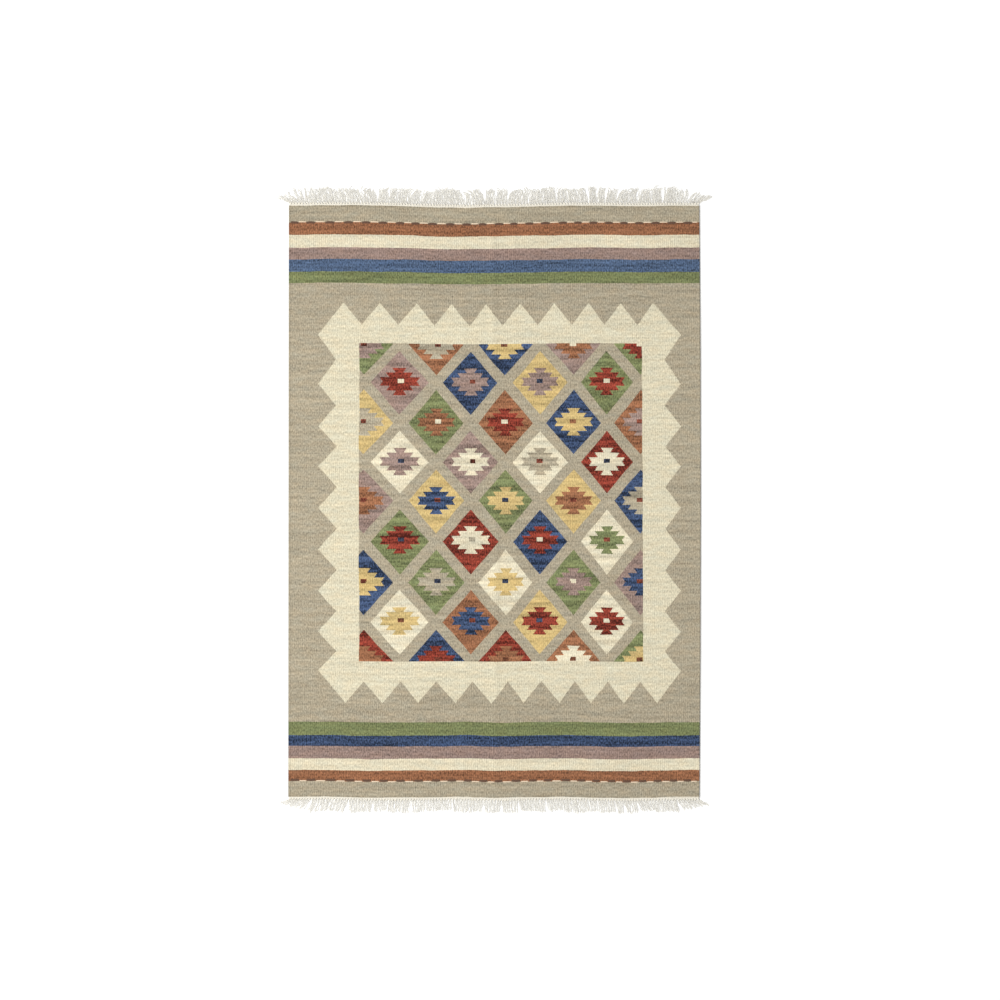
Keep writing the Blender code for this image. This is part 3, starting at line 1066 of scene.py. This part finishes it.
# One lock's yarns start half fanned out, wander apart, and bend and come down to the floor mostly near their
# tips. The shortest is this share of the longest.
LOOSE_WARPS = {
    "steps": 16, "fan": 0.0041, "wander": 0.010, "hook": 0.006, "layers": 0.0012,
    "ply_width": 0.0010, "turns_per_metre": 110.0,
}
FANNED_OUT = Fade(0.0, 0.15, 0.5, 1.0)
WANDERS_PER_METRE = 80.0
YARNS_APART = 3.7
TIP_BEND = 3.0
SHORTEST = 0.84

# A yarn's plies lie close, part near its tip and thin out there. The cotton is whitest past its first half.
PLY_LAY = Fade(0.80, 1.0, 0.42, 1.3)
PLY_HEIGHT = 0.35
PLY_TAPER = Fade(0.85, 1.0, 1.0, 0.5)
PLY_SIDES = 3
LOOSENESS = Fade(0.0, 0.6, 0.4, 1.0)


def loose_warp_tree():
    """Splits each lock into two-ply yarns that fan out, wander and lie over each other."""
    sizes = "fan wander hook layers ply_width turns_per_metre dullest"
    tree, given = new_tree("loose_warps", Float=sizes, Int="yarns steps seed", Material="material")
    path = value_of(tree, "GeometryNodeMeshToCurve", {"Mesh": given.geometry})
    soft = value_of(tree, "GeometryNodeCurveSplineType", {"Curve": path}, spline_type="CATMULL_ROM")
    even = value_of(tree, "GeometryNodeResampleCurve", {"Curve": soft, "Count": given.steps})
    yarns, number_in_lock = copied(even, given.yarns)
    number = value_of(tree, "GeometryNodeCurveOfPoint", output="Curve Index")
    factor = value_of(tree, "GeometryNodeSplineParameter", output="Factor")

    def draw(low, high, shift):
        return drawn(tree, low, high, ID=number, Seed=given.seed + shift)

    # Where in its lock the yarn lies, from -1 to 1, and how it wanders from there
    across = (number_in_lock + draw(0.0, 1.0, 1)) / given.yarns * 2.0 - 1.0
    place = vector_sum(tree, "SCALE", value_of(tree, "GeometryNodeInputPosition"), Scale=WANDERS_PER_METRE)
    place = vector_sum(tree, "ADD", place, join(tree, z=number * YARNS_APART))
    noise = value_of(tree, "ShaderNodeTexNoise", {"Vector": place, "Scale": 1.0, "Detail": 1.0})
    spread = (across * given.fan + (noise - 0.5) * given.wander) * faded(factor, FANNED_OUT)
    at_tip = factor**TIP_BEND
    sideways = spread + at_tip * draw(-1.0, 1.0, 4) * given.hook
    up = draw(0.0, 1.0, 2) * given.layers * (1.0 - at_tip)
    yarns = store(moved(yarns, sideways, up), "dullness", draw(0.0, given.dullest, 5))
    trim = {"Curve": yarns, 3: draw(SHORTEST, 1.0, 3)}
    yarns = value_of(tree, "GeometryNodeTrimCurve", trim, mode="FACTOR")

    # Each yarn's two plies turn round each other, and part at its tip
    plies, which = copied(yarns, 2)
    lay = faded(factor, PLY_LAY) * given.ply_width
    plies = wound(plies, which * 0.5, given.turns_per_metre, lay, given.ply_width * PLY_HEIGHT)
    plies = store(plies, "looseness", faded(factor, LOOSENESS))
    width = given.ply_width * faded(factor, PLY_TAPER)
    return finish_tree(tree, swept(plies, width, PLY_SIDES), given.material)


loose_warps = loose_warp_tree()
for end_name, end in LOOSE_ENDS.items():
    roots = zip(*root_places(end.side))
    paths = [lock_path(x, y, end, *heading) for (x, y), heading in zip(roots, lock_headings(end))]
    fringe = path_object(f"loose_warps_{end_name}", paths)
    own = {"yarns": end.yarns, "dullest": end.dullest, "seed": end.seed}
    use_tree(fringe, loose_warps, material=cotton, **LOOSE_WARPS, **own)
    finished_piece(fringe, "warp_cotton")
    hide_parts(f"fringe_{end_name}")


# ------------------------------------------------
# The floor is one sheet of smooth pale paper, large enough to fill every view. It lies just under the rug.
# ------------------------------------------------
FLOOR_SIZE = 30.0
FLOOR_LEVEL = -0.0002
PAPER_FINISH = {"Base Color": (0.95, 0.95, 0.945, 1.0), "Roughness": 0.9, "Specular IOR Level": 0.1}

bpy.ops.mesh.primitive_plane_add(size=FLOOR_SIZE)
floor = bpy.context.object
floor.name = "studio_floor"
paper, _ = new_material("floor_paper", PAPER_FINISH)
floor.data.materials.append(paper)
floor.location.z = FLOOR_LEVEL


# ------------------------------------------------
# Light: a white studio all round, and one large soft lamp high up on the left that brings out the folds.
# ------------------------------------------------
STUDIO_LEVEL = 0.76
LAMP_SIZE = 2.5
LAMP_PLACE = (-5.2, -0.2, 6.0)
LAMP_POWER = 450.0

world = bpy.data.worlds.new("white_studio")
world.use_nodes = True
world.node_tree.nodes["Background"].inputs["Color"].default_value = (1.0, 1.0, 1.0, 1.0)
world.node_tree.nodes["Background"].inputs["Strength"].default_value = STUDIO_LEVEL
scene.world = world
lamp_data = bpy.data.lights.new("soft_lamp", "AREA")
lamp_data.shape = "SQUARE"
lamp_data.size = LAMP_SIZE
lamp_data.energy = LAMP_POWER
lamp = bpy.data.objects.new("soft_lamp", lamp_data)
lamp.location = LAMP_PLACE
lamp.rotation_euler = (-lamp.location).to_track_quat("-Z", "Y").to_euler()
scene.collection.objects.link(lamp)
scene.view_settings.view_transform = "Standard"
